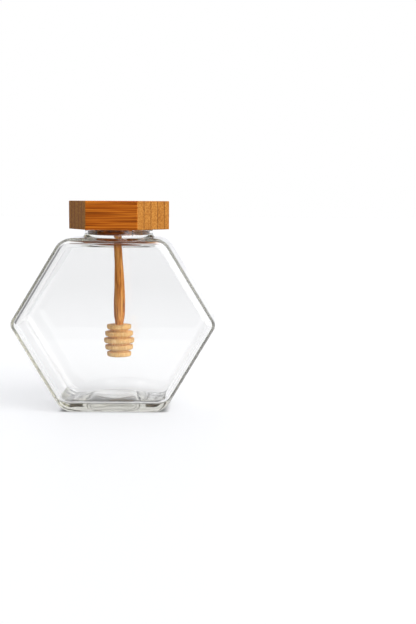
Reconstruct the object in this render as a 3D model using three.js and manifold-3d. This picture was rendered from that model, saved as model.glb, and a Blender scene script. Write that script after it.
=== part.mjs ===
// A hexagonal glass honey jar with a bamboo stopper lid and a wooden honey dipper hanging in it.
// Millimetres, +Z up. The origin is the middle of the jar's foot, on the table. X runs across the wide
// hexagonal face, from side corner to side corner, and Y runs through the jar from front to back.
import * as THREE from "three";
import { mergeVertices } from "three/addons/utils/BufferGeometryUtils.js";
import Module from "manifold-3d";

const wasm = await Module();
wasm.setup();

// Driving dimensions of the glass jar. Its width is over the rounded side corners.
const jarWidth = 120;
const bodyHeight = 102.2;
const widestHeight = 51.6;
const jarDepth = 52.6;
const topFlatWidth = 60.3;
const bottomFlatWidth = 60;
const wall = 2.5;
const floorThickness = 5;
const edgeRadius = 4.8;
const sideCornerRadius = 5;
const upperCornerRadius = 10;
const lowerCornerRadius = 10;
const smallestInnerRadius = 3.4;
const innerEdgeRadius = 3.2;

// The neck, the lid and the dipper share one axis, a little right of the middle.
const axisOffset = 2;
const neckRadius = 20.4;
const neckWall = 1.4;
const neckHeight = 4.55;
const neckRootFillet = 2.4;
const lipRounding = 0.65;

// The shallow hollow pressed up into the foot, a hair left of the middle. Its ceiling swells up in the
// middle, and so does the floor above it.
const footHollow = {
  offset: -0.5, halfWidth: 19, halfDepth: 19.6, cornerRadius: 4.5, height: 2, rounding: 0.6,
};
const hollowCrown = { halfWidth: 17.2, halfDepth: 17.8, height: 3.9, evenness: 6 };
const floorCrownHeight = 4.6;
const floorCrownEvenness = 2;
const crownSteps = 8;

// Driving dimensions of the lid. It sits a hair above the glass lip and is turned a little on its neck.
const lidCornerRadius = 30.4;
const lidHeight = 16.8;
const lidChamfer = 0.5;
const lidGap = 0.3;
const lidTurn = THREE.MathUtils.degToRad(-5);
const plugRadius = 18.65;
const plugLength = 3.6;
const plugChamfer = 0.6;

// Driving dimensions of the dipper. Heights are above the table.
const ringPitch = 4.1;
const ringThickness = 2.8;
const headFoot = 30.4;
const ringRadii = [7.3, 8.4, 9.1, 8.4, 7.3];
const grooveDepth = 1.9;
const ringUnderRounding = 1.2;
const ringTopRounding = 0.4;
const stickShift = 0.7;
const stickTaperTop = 96.65;
const stickHoleDepth = 6;
const socketDepth = 8;
const fitGap = 0.3;

// What follows from them.
const sideLean = Math.atan((jarWidth - topFlatWidth) / bodyHeight);
const sharpHalfWidth = jarWidth / 2 + sideCornerRadius * (1 / Math.cos(sideLean) - 1);
const neckTop = bodyHeight + neckHeight;
const lidUnderside = neckTop + lidGap;
const plugFoot = lidUnderside - plugLength;
const headTop = headFoot + ringPitch * (ringRadii.length - 1) + ringThickness;

const glass = new THREE.MeshStandardMaterial({
  color: 0xe9f0ec, roughness: 0.03, metalness: 0, transparent: true, opacity: 0.35,
});
const bamboo = new THREE.MeshStandardMaterial({ color: 0xb4691f, roughness: 0.5, metalness: 0 });
const stickWood = new THREE.MeshStandardMaterial({ color: 0xb97a3c, roughness: 0.6, metalness: 0 });
const headWood = new THREE.MeshStandardMaterial({ color: 0xdfb27a, roughness: 0.65, metalness: 0 });

function solidOf(geometry) {
  const bare = geometry.clone();
  bare.deleteAttribute("normal");
  bare.deleteAttribute("uv");
  const merged = mergeVertices(bare, 1e-4);
  return new wasm.Manifold(
    new wasm.Mesh({
      numProp: 3,
      vertProperties: merged.attributes.position.array,
      triVerts: new Uint32Array(merged.index.array),
    }),
  );
}

function geometryOf(solid) {
  const mesh = solid.getMesh();
  const geometry = new THREE.BufferGeometry();
  geometry.setAttribute("position", new THREE.BufferAttribute(mesh.vertProperties, 3));
  geometry.setIndex(new THREE.BufferAttribute(mesh.triVerts, 1));
  geometry.computeVertexNormals();
  return geometry;
}

function namedMesh(name, geometry, material) {
  const mesh = new THREE.Mesh(geometry, material);
  mesh.name = name;
  return mesh;
}

// A closed outline with each corner rounded to its own radius. Corners run anticlockwise.
function roundedOutline(corners, radii) {
  const shape = new THREE.Shape();
  corners.forEach((corner, i) => {
    const before = corners[(i + corners.length - 1) % corners.length];
    const after = corners[(i + 1) % corners.length];
    const toBefore = before.clone().sub(corner).normalize();
    const toAfter = after.clone().sub(corner).normalize();
    const halfAngle = Math.acos(toBefore.dot(toAfter)) / 2;
    const inward = toBefore.clone().add(toAfter).normalize();
    const centre = corner.clone().addScaledVector(inward, radii[i] / Math.sin(halfAngle));
    const startAngle = Math.atan2(-toBefore.x, toBefore.y) + Math.PI;
    const turn = Math.PI - 2 * halfAngle;
    shape.absarc(centre.x, centre.y, radii[i], startAngle, startAngle + turn, false);
  });
  return shape;
}

// A slab with that outline in X and Z, centred on Y, whose front and back edges are rounded.
function roundedSlab(outline, depth, radius, edgeSteps, cornerSteps) {
  const slab = new THREE.ExtrudeGeometry(outline, {
    depth: depth - 2 * radius,
    steps: 1,
    bevelEnabled: true,
    bevelThickness: radius,
    bevelSize: radius,
    bevelOffset: -radius,
    bevelSegments: edgeSteps,
    curveSegments: cornerSteps,
  });
  slab.translate(0, 0, radius - depth / 2);
  slab.rotateX(Math.PI / 2);
  return slab;
}

// The corners of a convex outline whose every side is moved inwards by its own amount.
function insetCorners(corners, insets) {
  const lines = corners.map((corner, i) => {
    const along = corners[(i + 1) % corners.length].clone().sub(corner).normalize();
    const inward = new THREE.Vector2(-along.y, along.x);
    return { from: corner.clone().addScaledVector(inward, insets[i]), along };
  });
  return lines.map((line, i) => {
    const before = lines[(i + lines.length - 1) % lines.length];
    const gap = line.from.clone().sub(before.from);
    const travel = gap.cross(line.along) / before.along.cross(line.along);
    return before.from.clone().addScaledVector(before.along, travel);
  });
}

// A turned piece. Each point of the profile is a radius and a height, and it closes on the axis.
function turned(profile, segments) {
  const points = profile.map(([radius, height]) => new THREE.Vector2(radius, height));
  return new THREE.LatheGeometry(points, segments).rotateX(Math.PI / 2);
}

// Points of a quarter round between two headings, in degrees, about a centre.
function quarterRound(centreRadius, centreHeight, radius, fromDegrees, toDegrees, steps) {
  return Array.from({ length: steps + 1 }, (_, i) => {
    const angle = THREE.MathUtils.degToRad(fromDegrees + ((toDegrees - fromDegrees) * i) / steps);
    return [centreRadius + radius * Math.cos(angle), centreHeight + radius * Math.sin(angle)];
  });
}

// The hollow's rounded rectangle, whose side walls round over into its ceiling.
function footHollowBlank({ offset, halfWidth, halfDepth, cornerRadius, height, rounding }) {
  const corners = [[1, 1], [-1, 1], [-1, -1], [1, -1]].map(
    ([x, y]) => new THREE.Vector2(x * halfWidth, y * halfDepth),
  );
  const blank = new THREE.ExtrudeGeometry(roundedOutline(corners, [1, 1, 1, 1].map(() => cornerRadius)), {
    depth: 2 * (height - rounding),
    steps: 1,
    bevelEnabled: true,
    bevelThickness: rounding,
    bevelSize: rounding,
    bevelOffset: -rounding,
    bevelSegments: 3,
    curveSegments: 4,
  });
  return blank.translate(offset, 0, rounding - height);
}

// A low pillow on the plane at base. It is highest in the middle and fades out along all four sides. The
// evenness says how long it keeps its height along X.
function crown({ halfWidth, halfDepth, height, evenness }, centreX, base) {
  const rooting = wall / 2;
  const pillow = new THREE.BoxGeometry(2 * halfWidth, 2 * halfDepth, rooting, crownSteps, crownSteps, 1);
  const place = pillow.attributes.position;
  for (let i = 0; i < place.count; i++) {
    const x = Math.abs(place.getX(i) / halfWidth);
    const y = place.getY(i) / halfDepth;
    if (place.getZ(i) > 0) place.setZ(i, rooting / 2 + height * (1 - x ** evenness) * (1 - y * y));
  }
  return pillow.translate(centreX, 0, base - rooting / 2);
}

function glassJar() {
  const corners = [
    [sharpHalfWidth, widestHeight], [topFlatWidth / 2, bodyHeight], [-topFlatWidth / 2, bodyHeight],
    [-sharpHalfWidth, widestHeight], [-bottomFlatWidth / 2, 0], [bottomFlatWidth / 2, 0],
  ].map(([x, z]) => new THREE.Vector2(x, z));
  const radii = [
    sideCornerRadius, upperCornerRadius, upperCornerRadius,
    sideCornerRadius, lowerCornerRadius, lowerCornerRadius,
  ];
  const insets = [wall, wall, wall, wall, floorThickness, wall];
  const innerRadii = radii.map((radius) => Math.max(radius - wall, smallestInnerRadius));
  const outer = roundedSlab(roundedOutline(corners, radii), jarDepth, edgeRadius, 4, 4);
  const innerCorners = insetCorners(corners, insets);
  const inner = roundedSlab(
    roundedOutline(innerCorners, innerRadii), jarDepth - 2 * wall, innerEdgeRadius, 3, 3,
  );
  const boreRadius = neckRadius - neckWall;
  const lipOuter = neckRadius - lipRounding;
  const lipInner = boreRadius + lipRounding;
  const rootRadius = neckRadius + neckRootFillet;
  const neckSegments = 56;
  const neck = turned(
    [
      [0, bodyHeight - wall / 2],
      [rootRadius, bodyHeight - wall / 2],
      ...quarterRound(rootRadius, bodyHeight + neckRootFillet, neckRootFillet, -90, -180, 4),
      ...quarterRound(lipOuter, neckTop - lipRounding, lipRounding, 0, 90, 3),
      [0, neckTop],
    ],
    neckSegments,
  ).translate(axisOffset, 0, 0);
  const bore = turned(
    [
      [0, bodyHeight - 2 * wall],
      [boreRadius, bodyHeight - 2 * wall],
      ...quarterRound(lipInner, neckTop - lipRounding, lipRounding, 180, 90, 3),
      [lipInner, neckTop + wall],
      [0, neckTop + wall],
    ],
    neckSegments,
  ).translate(axisOffset, 0, 0);
  const floorCorner = innerCorners[innerCorners.length - 1];
  const floorTurn = innerCorners[0].clone().sub(floorCorner).angle();
  const floorCrown = {
    halfWidth: floorCorner.x - innerRadii[innerRadii.length - 1] * Math.tan(floorTurn / 2),
    halfDepth: jarDepth / 2 - wall - innerEdgeRadius,
    height: floorCrownHeight,
    evenness: floorCrownEvenness,
  };
  const cavity = solidOf(inner).add(solidOf(bore)).subtract(solidOf(crown(floorCrown, 0, floorThickness)));
  const hollow = solidOf(footHollowBlank(footHollow))
    .add(solidOf(crown(hollowCrown, footHollow.offset, footHollow.height)));
  const vessel = solidOf(outer).add(solidOf(neck)).subtract(cavity).subtract(hollow);
  return namedMesh("glass_jar", geometryOf(vessel), glass);
}

// A straight hole for the stick, as deep again past the face that it is cut into.
function stickHole(share, face, depth) {
  const radius = stickRadius(share) + fitGap;
  const hole = new THREE.CylinderGeometry(radius, radius, 2 * depth, 24);
  return hole.rotateX(Math.PI / 2).translate(stickOffset(share), 0, face);
}

function bambooLid() {
  const corners = Array.from({ length: 6 }, (_, i) => {
    const angle = (i * Math.PI) / 3;
    return new THREE.Vector2(Math.cos(angle), Math.sin(angle)).multiplyScalar(lidCornerRadius);
  });
  const cap = new THREE.ExtrudeGeometry(new THREE.Shape(corners), {
    depth: lidHeight - 2 * lidChamfer,
    steps: 1,
    bevelEnabled: true,
    bevelThickness: lidChamfer,
    bevelSize: lidChamfer,
    bevelOffset: -lidChamfer,
    bevelSegments: 1,
  });
  cap.rotateZ(lidTurn).translate(axisOffset, 0, lidUnderside + lidChamfer);
  const plug = turned(
    [
      [0, plugFoot],
      [plugRadius - plugChamfer, plugFoot],
      [plugRadius, plugFoot + plugChamfer],
      [plugRadius, lidUnderside + 2],
      [0, lidUnderside + 2],
    ],
    56,
  ).translate(axisOffset, 0, 0);
  const lid = solidOf(cap).add(solidOf(plug)).subtract(solidOf(stickHole(1, plugFoot, stickHoleDepth)));
  return namedMesh("bamboo_lid", geometryOf(lid), bamboo);
}

// The stick is a shaved twig. Its share runs from 0 where it leaves the head to 1 where it turns straight.
function stickRadius(share) {
  const belly = Math.exp(-(((share - 0.25) / 0.42) ** 2));
  const neckDown = Math.exp(-((share / 0.085) ** 2));
  return 2.35 + 1.1 * belly - 0.7 * neckDown;
}

function stickOffset(share) {
  const bow = Math.sin(Math.PI * Math.min(1, 0.18 + share * 0.82)) ** 0.8;
  return axisOffset - stickShift + 0.95 * bow + 0.15 * (1 - share);
}

function dipperStick() {
  const foot = headTop - socketDepth + fitGap;
  const top = plugFoot + stickHoleDepth - fitGap;
  const stick = new THREE.CylinderGeometry(1, 1, top - foot, 16, 26);
  stick.rotateX(Math.PI / 2).translate(0, 0, (top + foot) / 2);
  // The straight rod is swelled and bent to the twig's own shape.
  const place = stick.attributes.position;
  for (let i = 0; i < place.count; i++) {
    const share = THREE.MathUtils.clamp((place.getZ(i) - headTop) / (stickTaperTop - headTop), 0, 1);
    place.setX(i, stickOffset(share) + place.getX(i) * stickRadius(share));
    place.setY(i, place.getY(i) * stickRadius(share));
  }
  return namedMesh("dipper_stick", geometryOf(solidOf(stick)), stickWood);
}

function dipperHead() {
  const profile = [[0, headFoot]];
  ringRadii.forEach((radius, i) => {
    const low = headFoot + i * ringPitch;
    const high = low + ringThickness;
    const underCrown = radius - ringUnderRounding;
    const topCrown = radius - ringTopRounding;
    if (i > 0) profile.push([Math.min(radius, ringRadii[i - 1]) - grooveDepth, low]);
    profile.push(...quarterRound(underCrown, low + ringUnderRounding, ringUnderRounding, -90, 0, 3));
    profile.push(...quarterRound(topCrown, high - ringTopRounding, ringTopRounding, 0, 90, 1));
    if (i < ringRadii.length - 1) profile.push([Math.min(radius, ringRadii[i + 1]) - grooveDepth, high]);
  });
  profile.push([0, headTop]);
  const rings = turned(profile, 36).translate(stickOffset(0), 0, 0);
  const head = solidOf(rings).subtract(solidOf(stickHole(0, headTop, socketDepth)));
  return namedMesh("dipper_head", geometryOf(head), headWood);
}

const honeyJar = new THREE.Group();
honeyJar.add(glassJar(), bambooLid(), dipperStick(), dipperHead());

export default honeyJar;
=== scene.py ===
import math

import bmesh
import bpy
from mathutils import Matrix, Vector, noise


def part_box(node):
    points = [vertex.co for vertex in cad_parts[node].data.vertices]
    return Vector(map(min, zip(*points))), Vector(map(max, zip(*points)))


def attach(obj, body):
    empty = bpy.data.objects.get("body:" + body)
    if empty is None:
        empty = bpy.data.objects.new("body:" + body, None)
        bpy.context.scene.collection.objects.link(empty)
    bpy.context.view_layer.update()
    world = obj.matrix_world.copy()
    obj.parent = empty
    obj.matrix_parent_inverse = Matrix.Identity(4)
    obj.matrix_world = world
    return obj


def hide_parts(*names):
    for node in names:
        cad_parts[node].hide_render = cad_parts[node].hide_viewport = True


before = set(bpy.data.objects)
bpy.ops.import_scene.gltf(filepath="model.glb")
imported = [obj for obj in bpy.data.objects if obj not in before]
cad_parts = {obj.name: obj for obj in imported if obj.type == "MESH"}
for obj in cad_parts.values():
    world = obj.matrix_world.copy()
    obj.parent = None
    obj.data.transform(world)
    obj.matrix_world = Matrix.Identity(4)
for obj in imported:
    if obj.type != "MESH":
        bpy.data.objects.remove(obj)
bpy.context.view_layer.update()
mm = 0.001


def boxMm(node):
    low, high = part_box(node)
    return Vector(low) / mm, Vector(high) / mm


jarHigh = boxMm("glass_jar")[1]
lidLow, lidHigh = boxMm("bamboo_lid")
stickLow, stickHigh = boxMm("dipper_stick")
headLow, headHigh = boxMm("dipper_head")
axisX = (lidLow.x + lidHigh.x) / 2  # the neck, the lid and the dipper share this axis


# Camera: the photo's height, distance and tilt
camera = {
    "place": (0.05567, -0.6636, 0.1238),
    "tiltDown": 5.72,
    "roll": 0.31,
    "lens": 63.7,
    "frameHeight": 36.0,
}


def makeCamera():
    data = bpy.data.cameras.new("photoCamera")
    data.sensor_fit = "VERTICAL"
    data.sensor_height = camera["frameHeight"]
    data.lens = camera["lens"]
    data.clip_start = 0.01
    holder = bpy.data.objects.new("photoCamera", data)
    holder.location = camera["place"]
    tilt = Matrix.Rotation(math.radians(90 - camera["tiltDown"]), 3, "X")
    roll = Matrix.Rotation(math.radians(camera["roll"]), 3, "Z")
    holder.rotation_euler = (tilt @ roll).to_euler()
    bpy.context.collection.objects.link(holder)
    bpy.context.scene.camera = holder


makeCamera()
print("camera placed")


# Mesh helpers. Pieces are built in millimetres and finished in metres.
def roundTo(centreR, centreZ, radius, fromDegrees, toDegrees, steps):
    points = []
    for i in range(steps + 1):
        angle = math.radians(fromDegrees + (toDegrees - fromDegrees) * i / steps)
        points.append((centreR + radius * math.cos(angle), centreZ + radius * math.sin(angle)))
    return points


def spunShell(profile, centreX, steps):
    bm = bmesh.new()
    chain = [bm.verts.new((centreX + radius, 0, height)) for radius, height in profile]
    links = [bm.edges.new(pair) for pair in zip(chain, chain[1:])]
    bmesh.ops.spin(
        bm, geom=chain + links, cent=(centreX, 0, 0), axis=(0, 0, 1),
        angle=math.tau, steps=steps, use_merge=True, use_duplicate=False,
    )
    bmesh.ops.remove_doubles(bm, verts=bm.verts, dist=1e-4)
    return bm


def bevelEdges(bm, edges, offset, segments):
    bmesh.ops.bevel(
        bm, geom=edges, offset=offset, offset_type="OFFSET", segments=segments,
        profile=0.5, affect="EDGES", material=-1, clamp_overlap=False,
    )


def addTo(bm, part):
    passing = bpy.data.meshes.new("passing")
    part.to_mesh(passing)
    part.free()
    bm.from_mesh(passing)
    bpy.data.meshes.remove(passing)


def openFlat(bm, up, cutsPerSide):
    # Takes out the flat face that looks straight up or down, and cuts its rim into even steps
    bm.normal_update()
    flats = [face for face in bm.faces if face.normal.z * up > 0.999]
    flat = max(flats, key=lambda face: face.calc_area())
    rim = list(flat.edges)
    bmesh.ops.delete(bm, geom=[flat], context="FACES_ONLY")
    bmesh.ops.subdivide_edges(bm, edges=rim, cuts=cutsPerSide - 1)


def bridgeAt(bm, height):
    def lies(edge):
        return all(abs(vert.co.z - height) < 1e-3 for vert in edge.verts)

    loops = [edge for edge in bm.edges if edge.is_boundary and lies(edge)]
    bmesh.ops.bridge_loops(bm, edges=loops)


def finishPiece(name, bm, material, node):
    bmesh.ops.recalc_face_normals(bm, faces=bm.faces)
    loose = [edge for edge in bm.edges if len(edge.link_faces) != 2]
    volume = bm.calc_volume(signed=True)
    print(name, "faces", len(bm.faces), "open edges", len(loose), "cubic cm", round(volume / 1000, 1))
    if volume < 0:
        bmesh.ops.reverse_faces(bm, faces=bm.faces)
    bmesh.ops.scale(bm, vec=(mm, mm, mm), verts=bm.verts)
    mesh = bpy.data.meshes.new(name)
    bm.to_mesh(mesh)
    bm.free()
    mesh.materials.append(material)
    for polygon in mesh.polygons:
        polygon.use_smooth = True
    piece = bpy.data.objects.new(name, mesh)
    bpy.context.collection.objects.link(piece)
    evening = piece.modifiers.new("evenNormals", "WEIGHTED_NORMAL")
    evening.mode = "FACE_AREA"
    evening.weight = 80
    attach(piece, "root")
    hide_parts(node)


# Material helpers
def hexColour(code):
    def linear(value):
        return value / 12.92 if value <= 0.04045 else ((value + 0.055) / 1.055) ** 2.4

    return tuple(linear(int(code[i:i + 2], 16) / 255) for i in (1, 3, 5)) + (1.0,)


def addNode(tree, kind, settings=None, links=None):
    node = tree.nodes.new(kind)
    for key, value in (settings or {}).items():
        if key in node.inputs.keys():
            node.inputs[key].default_value = value
        else:
            setattr(node, key, value)
    for key, source in (links or {}).items():
        tree.links.new(source, node.inputs[key])
    return node


def newMaterial(name):
    material = bpy.data.materials.new(name)
    material.use_nodes = True
    tree = material.node_tree
    return material, tree, tree.nodes["Principled BSDF"]


def setRamp(node, stops):
    ramp = node.color_ramp
    while len(ramp.elements) > 1:
        ramp.elements.remove(ramp.elements[-1])
    ramp.elements[0].position, ramp.elements[0].color = stops[0]
    for position, colour in stops[1:]:
        ramp.elements.new(position).color = colour


# The glass jar
glass = {
    "topFlat": 60.3, "bottomFlat": 60.0, "widestHeight": 51.6, "bodyHeight": 102.2,
    "wall": 2.5, "floor": 5.0,
    "sideRadius": 5.0, "upperRadius": 10.0, "lowerRadius": 10.0, "edgeRadius": 4.8,
    "innerSideRadius": 3.4, "innerUpperRadius": 7.5, "innerLowerRadius": 7.5, "innerEdgeRadius": 3.2,
    "neckRadius": 20.4, "neckWall": 1.4, "rootFillet": 2.6, "boreFillet": 0.8, "lipRounding": 0.65,
    "hollowOffset": -0.5, "hollowHalfWidth": 19.0, "hollowHalfDepth": 19.6, "hollowCorner": 4.5,
    "hollowHeight": 2.0, "hollowRounding": 0.6, "crownHalfWidth": 17.2, "crownHalfDepth": 17.8,
    "hollowCrown": 3.9, "hollowEvenness": 6, "floorCrown": 4.6, "crownRings": 14, "crownCuts": 24,
    "rimSteps": 96, "cornerSteps": 8, "edgeSteps": 9, "tint": "#dddcd2", "tintPerMetre": 26.0,
}


def jarOutline():
    lean = math.atan((2 * round(jarHigh.x) - glass["topFlat"]) / glass["bodyHeight"])
    half = round(jarHigh.x) + glass["sideRadius"] * (1 / math.cos(lean) - 1)
    top = glass["topFlat"] / 2
    bottom = glass["bottomFlat"] / 2
    widest = glass["widestHeight"]
    high = glass["bodyHeight"]
    return [Vector(point) for point in (
        (half, widest), (top, high), (-top, high), (-half, widest), (-bottom, 0), (bottom, 0),
    )]


def insetOutline(outline, insets):
    # Moves every side inwards by its own amount and finds the corners again
    lines = []
    for i, corner in enumerate(outline):
        along = (outline[(i + 1) % len(outline)] - corner).normalized()
        lines.append((corner + Vector((-along.y, along.x)) * insets[i], along))
    corners = []
    for i, (start, along) in enumerate(lines):
        lastStart, lastAlong = lines[i - 1]
        gap = start - lastStart
        travel = (gap.x * along.y - gap.y * along.x) / (lastAlong.x * along.y - lastAlong.y * along.x)
        corners.append(lastStart + lastAlong * travel)
    return corners


def hexagonShell(outline, halfDepth, radii, edgeRadius):
    # A standing hexagon, its six corners rounded first and then the rims of its two faces
    bm = bmesh.new()
    ring = [bm.verts.new((corner.x, -halfDepth, corner.y)) for corner in outline]
    grown = bmesh.ops.extrude_face_region(bm, geom=[bm.faces.new(ring)])
    far = [item for item in grown["geom"] if isinstance(item, bmesh.types.BMVert)]
    bmesh.ops.translate(bm, vec=(0, 2 * halfDepth, 0), verts=far)
    bmesh.ops.recalc_face_normals(bm, faces=bm.faces)
    for i, corner in enumerate(outline):
        before = corner - outline[i - 1]
        after = outline[(i + 1) % len(outline)] - corner
        across = [
            edge for edge in bm.edges
            if all((Vector((vert.co.x, vert.co.z)) - corner).length < 1e-3 for vert in edge.verts)
        ]
        bevelEdges(bm, across, radii[i] * math.tan(before.angle(after) / 2), glass["cornerSteps"])
    rims = [
        edge for edge in bm.edges
        if abs(edge.verts[0].co.y - edge.verts[1].co.y) < 1e-4
        and abs(abs(edge.verts[0].co.y) - halfDepth) < 1e-4
    ]
    bevelEdges(bm, rims, edgeRadius, glass["edgeSteps"])
    return bm


def crownFace(bm, face, rings, halfSizes, height, evenness):
    # Raises a flat face into a low pillow that fades out at the given half width and half depth.
    # The evenness says how long it keeps its height along X.
    base = face.calc_center_median().z
    long = [edge for edge in face.edges if edge.calc_length() > 2 * halfSizes[0] / glass["crownCuts"]]
    bmesh.ops.subdivide_edges(bm, edges=long, cuts=glass["crownCuts"] - 1)
    for i in range(rings, 1, -1):
        bmesh.ops.inset_region(bm, faces=[face], thickness=0)
        shrink = (i - 1) / i
        bmesh.ops.scale(bm, vec=(shrink, shrink, 1), verts=face.verts)
    bmesh.ops.poke(bm, faces=[face])
    for vert in bm.verts:
        if abs(vert.co.z - base) < 1e-4:
            x = vert.co.x / halfSizes[0]
            y = vert.co.y / halfSizes[1]
            vert.co.z += height * max(0.0, 1 - abs(x) ** evenness) * max(0.0, 1 - y * y)


def footHollow():
    # A shallow rounded pocket pressed up into the foot, with a crowned ceiling
    bm = bmesh.new()
    bmesh.ops.create_grid(bm, x_segments=1, y_segments=1, size=1)
    bmesh.ops.scale(bm, vec=(glass["hollowHalfWidth"], glass["hollowHalfDepth"], 1), verts=bm.verts)
    bmesh.ops.bevel(
        bm, geom=bm.verts[:], offset=glass["hollowCorner"], offset_type="OFFSET",
        segments=glass["rimSteps"] // 4 - 1, profile=0.5, affect="VERTICES", material=-1,
    )
    grown = bmesh.ops.extrude_face_region(bm, geom=bm.faces[:])
    raised = [item for item in grown["geom"] if isinstance(item, bmesh.types.BMVert)]
    bmesh.ops.translate(bm, vec=(0, 0, glass["hollowHeight"]), verts=raised)
    bm.normal_update()
    under = [face for face in bm.faces if all(abs(vert.co.z) < 1e-4 for vert in face.verts)]
    bmesh.ops.delete(bm, geom=under, context="FACES_ONLY")
    topEdges = [
        edge for edge in bm.edges
        if all(abs(vert.co.z - glass["hollowHeight"]) < 1e-4 for vert in edge.verts)
    ]
    bevelEdges(bm, topEdges, glass["hollowRounding"], 5)
    crownFace(
        bm, max(bm.faces, key=lambda face: face.calc_area()), glass["crownRings"],
        (glass["crownHalfWidth"], glass["crownHalfDepth"]), glass["hollowCrown"], glass["hollowEvenness"],
    )
    bmesh.ops.translate(bm, vec=(glass["hollowOffset"], 0, 0), verts=bm.verts)
    bmesh.ops.reverse_faces(bm, faces=bm.faces)
    return bm


def neckAndLip():
    # Up the outside of the neck, over the fire-polished lip and down the bore
    foot = glass["bodyHeight"]
    lipTop = jarHigh.z
    outer = glass["neckRadius"]
    bore = outer - glass["neckWall"]
    lip = glass["lipRounding"]
    root = glass["rootFillet"]
    inner = glass["boreFillet"]
    ceiling = foot - glass["wall"]
    profile = roundTo(outer + root, foot + root, root, -90, -180, 8)
    profile += roundTo(outer - lip, lipTop - lip, lip, 0, 90, 6)
    profile += roundTo(bore + lip, lipTop - lip, lip, 90, 180, 6)
    profile += roundTo(bore + inner, ceiling + inner, inner, 180, 270, 6)
    bm = spunShell(profile, axisX, glass["rimSteps"])
    # The panel is too shallow for the whole fillet, so it narrows towards the front and back
    flatHalfDepth = jarHigh.y - glass["edgeRadius"]
    narrowing = (flatHalfDepth - 0.2 - outer) / root
    for vert in bm.verts:
        away = Vector((vert.co.x - axisX, vert.co.y))
        if away.length > outer + 1e-4:
            kept = outer + (away.length - outer) * narrowing
            vert.co.y = away.y / away.length * kept
    return bm


def makeGlass(material):
    steps = glass["rimSteps"] // 4
    outline = jarOutline()
    side, upper, lower = glass["sideRadius"], glass["upperRadius"], glass["lowerRadius"]
    bm = hexagonShell(outline, jarHigh.y, (side, upper, upper, side, lower, lower), glass["edgeRadius"])
    openFlat(bm, 1, steps)
    openFlat(bm, -1, steps)
    wall = glass["wall"]
    side, upper, lower = glass["innerSideRadius"], glass["innerUpperRadius"], glass["innerLowerRadius"]
    cavity = hexagonShell(
        insetOutline(outline, (wall, wall, wall, wall, glass["floor"], wall)), jarHigh.y - wall,
        (side, upper, upper, side, lower, lower), glass["innerEdgeRadius"],
    )
    openFlat(cavity, 1, steps)
    cavity.normal_update()
    flats = [face for face in cavity.faces if face.normal.z < -0.999]
    floorFace = max(flats, key=lambda face: face.calc_area())
    halfSizes = [max(abs(vert.co[i]) for vert in floorFace.verts) for i in (0, 1)]
    crownFace(cavity, floorFace, glass["crownRings"], halfSizes, glass["floorCrown"], 2)
    addTo(bm, cavity)
    addTo(bm, neckAndLip())
    addTo(bm, footHollow())
    for height in (glass["bodyHeight"], glass["bodyHeight"] - glass["wall"], 0.0):
        bridgeAt(bm, height)
    finishPiece("jarGlass", bm, material, "glass_jar")


def sodaLimeGlass():
    # Pressed soda-lime glass: clear through the panes, grey-green where light runs along a wall
    material, tree, shader = newMaterial("sodaLimeGlass")
    shader.inputs["Base Color"].default_value = hexColour("#ffffff")
    shader.inputs["Roughness"].default_value = 0.0
    shader.inputs["IOR"].default_value = 1.52
    shader.inputs["Transmission Weight"].default_value = 1.0
    absorb = addNode(
        tree, "ShaderNodeVolumeAbsorption",
        {"Color": hexColour(glass["tint"]), "Density": glass["tintPerMetre"]},
    )
    output = tree.nodes["Material Output"]
    tree.links.new(absorb.outputs["Volume"], output.inputs["Volume"])
    return material


makeGlass(sodaLimeGlass())
print("glass made")


# The bamboo lid: a hexagonal block of laminated strips with a turned plug
lid = {
    "cornerRadius": 30.4, "turn": -5.0, "edge": 0.45, "plugRadius": 18.65,
    "plugEdge": 0.6, "rootFillet": 0.4, "holeDepth": 6.0, "holeRadius": 2.7, "holeShift": -0.6,
    "gap": 0.3, "holeEdge": 0.2, "rimSteps": 96,
    "stripThickness": 5.6, "gluePlace": 4.2, "glueWidth": 0.34, "stripSeed": 246,
    "bandPerMm": (0.014, 1.1, 1.1), "fibrePerMm": (0.035, 3.6, 3.6), "bundlePerMm": (0.02, 1.6, 1.6),
    "dotSize": (0.12, 0.34), "dotTone": 0.55, "endGrainFrom": (0.35, 0.6),
    "fibreShare": 0.5, "stripShare": 0.1, "relief": 0.00006, "reliefStrength": 0.6,
}


def makeLid(material):
    underside = jarHigh.z + lid["gap"]
    bm = bmesh.new()
    bmesh.ops.create_circle(bm, cap_ends=True, segments=6, radius=lid["cornerRadius"])
    bmesh.ops.rotate(
        bm, cent=(0, 0, 0), verts=bm.verts,
        matrix=Matrix.Rotation(math.radians(90 + lid["turn"]), 3, "Z"),
    )
    bmesh.ops.translate(bm, vec=(axisX, 0, underside), verts=bm.verts)
    grown = bmesh.ops.extrude_face_region(bm, geom=bm.faces[:])
    raised = [item for item in grown["geom"] if isinstance(item, bmesh.types.BMVert)]
    bmesh.ops.translate(bm, vec=(0, 0, lidHigh.z - underside), verts=raised)
    bmesh.ops.recalc_face_normals(bm, faces=bm.faces)
    bevelEdges(bm, bm.edges[:], lid["edge"], 3)
    openFlat(bm, -1, lid["rimSteps"] // 6)
    foot = lidLow.z
    plug = lid["plugRadius"]
    edge = lid["plugEdge"]
    root = lid["rootFillet"]
    hole = lid["holeRadius"]
    holeEdge = lid["holeEdge"]
    holeTop = foot + lid["holeDepth"]
    profile = roundTo(plug + root, underside - root, root, 90, 180, 3)
    profile += roundTo(plug - edge, foot + edge, edge, 0, -90, 4)
    profile += [(hole + holeEdge, foot), (hole, foot + holeEdge), (hole, holeTop), (0, holeTop)]
    turned = spunShell(profile, axisX, lid["rimSteps"])
    drilled = [
        vert for vert in turned.verts
        if math.hypot(vert.co.x - axisX, vert.co.y) < hole + 1.5 * holeEdge
    ]
    bmesh.ops.translate(turned, vec=(lid["holeShift"], 0, 0), verts=drilled)
    addTo(bm, turned)
    bridgeAt(bm, underside)
    finishPiece("bambooStopper", bm, material, "bamboo_lid")


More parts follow.
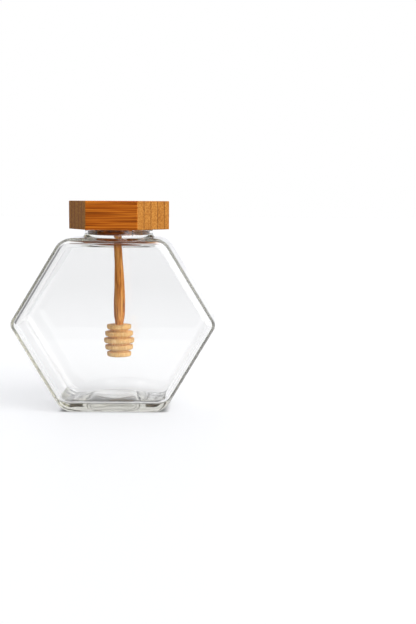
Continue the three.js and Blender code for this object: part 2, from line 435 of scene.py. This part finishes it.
def laminatedBamboo():
    # Carbonised bamboo strips glued side by side. The eye gets long dark and light fibres along the strips,
    # dots where the strips are cut across, and a thin dark glue line every few millimetres.
    material, tree, shader = newMaterial("laminatedBamboo")
    place = addNode(tree, "ShaderNodeTexCoord")
    turned = addNode(
        tree, "ShaderNodeMapping",
        {
            "vector_type": "TEXTURE", "Location": (axisX * mm, 0, 0),
            "Rotation": (0, 0, math.radians(lid["turn"])),
        },
        {"Vector": place.outputs["Object"]},
    )

    def stretched(perMm):
        scale = tuple(value / mm for value in perMm)
        return addNode(
            tree, "ShaderNodeMapping", {"Scale": scale}, {"Vector": turned.outputs["Vector"]},
        )

    apart = addNode(tree, "ShaderNodeSeparateXYZ", links={"Vector": turned.outputs["Vector"]})
    strips = addNode(tree, "ShaderNodeMath", {"operation": "MULTIPLY_ADD"}, {0: apart.outputs["Y"]})
    strips.inputs[1].default_value = 1 / (lid["stripThickness"] * mm)
    strips.inputs[2].default_value = lid["gluePlace"] / lid["stripThickness"] + lid["stripSeed"]
    number = addNode(tree, "ShaderNodeMath", {"operation": "FLOOR"}, {0: strips.outputs[0]})
    across = addNode(tree, "ShaderNodeMath", {"operation": "PINGPONG"}, {0: strips.outputs[0]})
    across.inputs[1].default_value = 0.5
    glueShare = lid["glueWidth"] / lid["stripThickness"]
    glue = addNode(
        tree, "ShaderNodeMapRange",
        {"From Min": 0.3 * glueShare, "From Max": glueShare},
        {"Value": across.outputs[0]},
    )
    ownTone = addNode(tree, "ShaderNodeTexWhiteNoise", {"noise_dimensions": "1D"}, {"W": number.outputs[0]})
    bands = addNode(
        tree, "ShaderNodeTexNoise", {"Scale": 1.0, "Detail": 3.0, "Roughness": 0.55},
        {"Vector": stretched(lid["bandPerMm"]).outputs["Vector"]},
    )
    fibres = addNode(
        tree, "ShaderNodeTexNoise", {"Scale": 1.0, "Detail": 2.0, "Roughness": 0.6},
        {"Vector": stretched(lid["fibrePerMm"]).outputs["Vector"]},
    )
    bundles = addNode(
        tree, "ShaderNodeTexVoronoi", {"Scale": 1.0},
        {"Vector": stretched(lid["bundlePerMm"]).outputs["Vector"]},
    )
    mix = addNode(
        tree, "ShaderNodeMath", {"operation": "MULTIPLY_ADD"},
        {0: fibres.outputs["Fac"], 2: bands.outputs["Fac"]},
    )
    mix.inputs[1].default_value = lid["fibreShare"]
    toned = addNode(
        tree, "ShaderNodeMath", {"operation": "MULTIPLY_ADD"},
        {0: ownTone.outputs["Value"], 2: mix.outputs[0]},
    )
    toned.inputs[1].default_value = lid["stripShare"]
    tones = addNode(tree, "ShaderNodeValToRGB", links={"Fac": toned.outputs[0]})
    setRamp(tones, [
        (0.64, hexColour("#572400")), (0.74, hexColour("#823c02")),
        (0.82, hexColour("#a04c05")), (0.92, hexColour("#bf6c1c")),
    ])
    endTones = addNode(tree, "ShaderNodeValToRGB", links={"Fac": toned.outputs[0]})
    setRamp(endTones, [
        (0.6, hexColour("#865120")), (0.78, hexColour("#976024")), (0.95, hexColour("#aa7434")),
    ])
    facing = addNode(tree, "ShaderNodeSeparateXYZ", links={"Vector": place.outputs["Normal"]})
    sideways = addNode(tree, "ShaderNodeMath", {"operation": "ABSOLUTE"}, {0: facing.outputs["X"]})
    cutAcross = addNode(
        tree, "ShaderNodeMapRange",
        {"From Min": lid["endGrainFrom"][0], "From Max": lid["endGrainFrom"][1]},
        {"Value": sideways.outputs[0]},
    )
    wood = addNode(tree, "ShaderNodeMix", {"data_type": "RGBA"}, {
        "Factor": cutAcross.outputs[0], "A": tones.outputs["Color"], "B": endTones.outputs["Color"],
    })
    dots = addNode(
        tree, "ShaderNodeMapRange",
        {"From Min": lid["dotSize"][0], "From Max": lid["dotSize"][1], "To Min": lid["dotTone"]},
        {"Value": bundles.outputs["Distance"]},
    )
    dotted = addNode(
        tree, "ShaderNodeVectorMath", {"operation": "SCALE"},
        {0: wood.outputs["Result"], "Scale": dots.outputs[0]},
    )
    glued = addNode(tree, "ShaderNodeMix", {"data_type": "RGBA"}, {"Factor": glue.outputs[0]})
    glued.inputs["A"].default_value = hexColour("#5d3413")
    tree.links.new(dotted.outputs["Vector"], glued.inputs["B"])
    tree.links.new(glued.outputs["Result"], shader.inputs["Base Color"])
    bump = addNode(
        tree, "ShaderNodeBump", {"Strength": lid["reliefStrength"], "Distance": lid["relief"]},
        {"Height": fibres.outputs["Fac"]},
    )
    tree.links.new(bump.outputs["Normal"], shader.inputs["Normal"])
    shader.inputs["Roughness"].default_value = 0.55
    shader.inputs["Specular IOR Level"].default_value = 0.06
    return material


makeLid(laminatedBamboo())
print("lid made")


# The dipper stick: a shaved twig, thin at the plug and thickest a third of the way up
stick = {
    "steps": 48, "rings": 60, "waver": 0.06, "waverPerMm": (1.2, 0.09), "taperTop": 96.65,
    "radius": 2.35, "belly": 1.1, "bellyAt": 0.25, "bellyLength": 0.42, "waist": 0.7, "waistLength": 0.085,
    "shift": 0.7, "bow": 0.95, "bowStart": 0.18, "lean": 0.15, "grainPerMm": (0.9, 0.9, 0.045),
}


def stickRadius(share):
    belly = math.exp(-(((share - stick["bellyAt"]) / stick["bellyLength"]) ** 2))
    waist = math.exp(-((share / stick["waistLength"]) ** 2))
    return stick["radius"] + stick["belly"] * belly - stick["waist"] * waist


def stickOffset(share):
    bent = math.sin(math.pi * min(1, stick["bowStart"] + share * (1 - stick["bowStart"]))) ** 0.8
    return axisX - stick["shift"] + stick["bow"] * bent + stick["lean"] * (1 - share)


def makeStick(material):
    bottom = stickLow.z
    top = stickHigh.z
    heights = [bottom + (top - bottom) * i / stick["rings"] for i in range(stick["rings"] + 1)]
    rough, slow = stick["waverPerMm"]
    profile = [(0, bottom)] + [(1, height) for height in heights] + [(0, top)]
    bm = spunShell(profile, 0, stick["steps"])
    for vert in bm.verts:
        share = min(1, max(0, (vert.co.z - headHigh.z) / (stick["taperTop"] - headHigh.z)))
        radius = stickRadius(share)
        away = Vector((vert.co.x, vert.co.y, 0))
        spot = Vector((away.x * rough, away.y * rough, vert.co.z * slow))
        uneven = 1 + stick["waver"] * noise.noise(spot)
        vert.co.x = stickOffset(share) + away.x * radius * uneven
        vert.co.y = away.y * radius * uneven
    finishPiece("dipperTwig", bm, material, "dipper_stick")


def shavedTwig():
    # Oiled shaved hardwood. The eye gets fine dark and light streaks that run the length of the stick.
    material, tree, shader = newMaterial("shavedTwig")
    place = addNode(tree, "ShaderNodeTexCoord")
    grain = addNode(
        tree, "ShaderNodeMapping", {"Scale": tuple(value / mm for value in stick["grainPerMm"])},
        {"Vector": place.outputs["Object"]},
    )
    streaks = addNode(
        tree, "ShaderNodeTexNoise", {"Scale": 1.0, "Detail": 4.0, "Roughness": 0.6},
        {"Vector": grain.outputs["Vector"]},
    )
    tones = addNode(tree, "ShaderNodeValToRGB", links={"Fac": streaks.outputs["Fac"]})
    setRamp(tones, [
        (0.34, hexColour("#9c541b")), (0.5, hexColour("#d48638")), (0.68, hexColour("#f2b463")),
    ])
    tree.links.new(tones.outputs["Color"], shader.inputs["Base Color"])
    shader.inputs["Roughness"].default_value = 0.5
    shader.inputs["Specular IOR Level"].default_value = 0.15
    return material


makeStick(shavedTwig())
print("stick made")


# The dipper head: five turned rings on a core
head = {
    "radii": (7.3, 8.4, 9.1, 8.4, 7.3), "pitch": 4.1, "thickness": 2.8,
    "grooveDepth": 1.9, "underRounding": 1.2, "topRounding": 0.3, "steps": 72,
    "grainPerMm": (1.3, 1.3, 0.09),
}


def makeHead(material):
    foot = headLow.z
    centreX = (headLow.x + headHigh.x) / 2
    under = head["underRounding"]
    upper = head["topRounding"]
    profile = [(0, foot)]
    last = len(head["radii"]) - 1
    for i, radius in enumerate(head["radii"]):
        low = foot + i * head["pitch"]
        high = low + head["thickness"]
        if i > 0:
            profile.append((min(radius, head["radii"][i - 1]) - head["grooveDepth"], low))
        profile += roundTo(radius - under, low + under, under, -90, 0, 6)
        profile += roundTo(radius - upper, high - upper, upper, 0, 90, 3)
        if i < last:
            profile.append((min(radius, head["radii"][i + 1]) - head["grooveDepth"], high))
    profile.append((0, headHigh.z))
    bm = spunShell(profile, centreX, head["steps"])
    finishPiece("dipperRings", bm, material, "dipper_head")


def turnedBeech():
    # Bare turned beech. The eye gets a pale dull wood with faint upright grain.
    material, tree, shader = newMaterial("turnedBeech")
    place = addNode(tree, "ShaderNodeTexCoord")
    grain = addNode(
        tree, "ShaderNodeMapping", {"Scale": tuple(value / mm for value in head["grainPerMm"])},
        {"Vector": place.outputs["Object"]},
    )
    streaks = addNode(
        tree, "ShaderNodeTexNoise", {"Scale": 1.0, "Detail": 4.0, "Roughness": 0.6},
        {"Vector": grain.outputs["Vector"]},
    )
    tones = addNode(tree, "ShaderNodeValToRGB", links={"Fac": streaks.outputs["Fac"]})
    setRamp(tones, [
        (0.3, hexColour("#e3a65c")), (0.52, hexColour("#f6c47c")), (0.75, hexColour("#ffdca0")),
    ])
    tree.links.new(tones.outputs["Color"], shader.inputs["Base Color"])
    shader.inputs["Roughness"].default_value = 0.6
    shader.inputs["Specular IOR Level"].default_value = 0.15
    return material


makeHead(turnedBeech())
print("dipper head made")


# The studio: a pale table with a faint glow of its own, and one soft surround that lights everything
studio = {
    "floorHalf": 4.0, "floorFront": -0.37, "floorDrop": 0.0003, "floorTone": "#909090",
    # The two foot sizes on the next line mark where the glow is left out and how fast it returns: a painted
    # shade under the jar
    "floorGlow": 0.62, "glowTone": "#fbfcff", "paintedShadeHalf": (0.029, 0.018), "paintedShadeFade": 0.005,
    "backdrop": 1.0, "horizon": (0.93, 0.935, 0.965), "overhead": 1.2, "overheadFrom": (0.6, 0.85),
    "front": 0.06, "frontFade": (-0.3, 0.3), "left": 0.35, "leftFade": (-0.85, -0.5),
    "right": 0.5, "rightFade": (0.3, 0.6), "belowFade": (-0.07, -0.14),
    "keyStrength": 5.6, "keyFrom": (0.6, -0.7, 0.6), "keySpread": (0.76, 0.95), "bounces": 32,
}


def makeFloor():
    bm = bmesh.new()
    bmesh.ops.create_grid(bm, x_segments=1, y_segments=1, size=studio["floorHalf"])
    middleY = studio["floorHalf"] + studio["floorFront"]
    bmesh.ops.translate(bm, vec=(0, middleY, -studio["floorDrop"]), verts=bm.verts)
    mesh = bpy.data.meshes.new("studioFloor")
    bm.to_mesh(mesh)
    bm.free()
    material, tree, shader = newMaterial("paleSweep")
    shader.inputs["Base Color"].default_value = hexColour(studio["floorTone"])
    shader.inputs["Roughness"].default_value = 0.6
    shader.inputs["Specular IOR Level"].default_value = 0.2
    shader.inputs["Emission Color"].default_value = hexColour(studio["glowTone"])
    # The glow is left out under the foot: a painted shade under the glass, standing in for its contact
    # shadow
    place = addNode(tree, "ShaderNodeTexCoord")
    span = addNode(tree, "ShaderNodeVectorMath", {"operation": "ABSOLUTE"}, {0: place.outputs["Object"]})
    past = addNode(tree, "ShaderNodeVectorMath", {"operation": "SUBTRACT"}, {0: span.outputs["Vector"]})
    past.inputs[1].default_value = (*studio["paintedShadeHalf"], 0)
    beyond = addNode(tree, "ShaderNodeVectorMath", {"operation": "MAXIMUM"}, {0: past.outputs["Vector"]})
    beyond.inputs[1].default_value = (0, 0, 0)
    reach = addNode(tree, "ShaderNodeVectorMath", {"operation": "LENGTH"}, {0: beyond.outputs["Vector"]})
    glow = addNode(
        tree, "ShaderNodeMapRange",
        {"interpolation_type": "SMOOTHSTEP", "From Max": studio["paintedShadeFade"], "To Max": studio["floorGlow"]},
        {"Value": reach.outputs["Value"]},
    )
    tree.links.new(glow.outputs[0], shader.inputs["Emission Strength"])
    mesh.materials.append(material)
    floorPiece = bpy.data.objects.new("studioFloor", mesh)
    bpy.context.collection.objects.link(floorPiece)


def makeSurround():
    world = bpy.data.worlds.new("softStudio")
    bpy.context.scene.world = world
    world.use_nodes = True
    tree = world.node_tree
    tree.nodes.clear()
    place = addNode(tree, "ShaderNodeTexCoord")
    apart = addNode(tree, "ShaderNodeSeparateXYZ", links={"Vector": place.outputs["Generated"]})
    levels = addNode(tree, "ShaderNodeValToRGB", links={"Fac": apart.outputs["Z"]})

    def grey(value):
        return (value, value, value, 1)

    horizon = studio["horizon"] + (1,)
    low, high = studio["overheadFrom"]
    setRamp(levels, [(0.0, horizon), (low, horizon), (high, grey(studio["overhead"]))])
    def fade(source, span, low, high):
        return addNode(
            tree, "ShaderNodeMapRange",
            {"From Min": span[0], "From Max": span[1], "To Min": low, "To Max": high}, {"Value": source},
        )

    # The room in front of the jar is dark, so the panes mirror nothing bright
    front = fade(apart.outputs["Y"], studio["frontFade"], studio["front"], 1.0)
    left = fade(apart.outputs["X"], studio["leftFade"], studio["left"], 1.0)
    right = fade(apart.outputs["X"], studio["rightFade"], 0.0, studio["right"])
    below = fade(apart.outputs["Z"], studio["belowFade"], 0.0, 1.0)
    facing = addNode(
        tree, "ShaderNodeVectorMath", {"operation": "DOT_PRODUCT"}, {0: place.outputs["Generated"]},
    )
    facing.inputs[1].default_value = Vector(studio["keyFrom"]).normalized()
    lobe = fade(facing.outputs["Value"], studio["keySpread"], 0.0, studio["keyStrength"])
    room = addNode(
        tree, "ShaderNodeMath", {"operation": "MULTIPLY"}, {0: front.outputs[0], 1: left.outputs[0]},
    )
    for other in (right, below):
        room = addNode(
            tree, "ShaderNodeMath", {"operation": "MAXIMUM"}, {0: room.outputs[0], 1: other.outputs[0]},
        )
    light = addNode(
        tree, "ShaderNodeBackground", links={"Color": levels.outputs["Color"], "Strength": room.outputs[0]},
    )
    key = addNode(tree, "ShaderNodeBackground", links={"Strength": lobe.outputs["Result"]})
    key.inputs["Color"].default_value = grey(1.0)
    both = addNode(tree, "ShaderNodeAddShader", links={0: light.outputs[0], 1: key.outputs[0]})
    seen = addNode(tree, "ShaderNodeBackground", {"Color": grey(1.0), "Strength": studio["backdrop"]})
    path = addNode(tree, "ShaderNodeLightPath")
    pick = addNode(
        tree, "ShaderNodeMixShader",
        links={0: path.outputs["Is Camera Ray"], 1: both.outputs[0], 2: seen.outputs[0]},
    )
    addNode(tree, "ShaderNodeOutputWorld", links={"Surface": pick.outputs[0]})


makeFloor()
makeSurround()
# Light goes through many walls of the jar before it leaves it
bpy.context.scene.cycles.max_bounces = studio["bounces"]
bpy.context.scene.cycles.transmission_bounces = studio["bounces"]
bpy.context.scene.cycles.glossy_bounces = studio["bounces"]
bpy.context.scene.view_settings.view_transform = "Standard"
print("studio made")
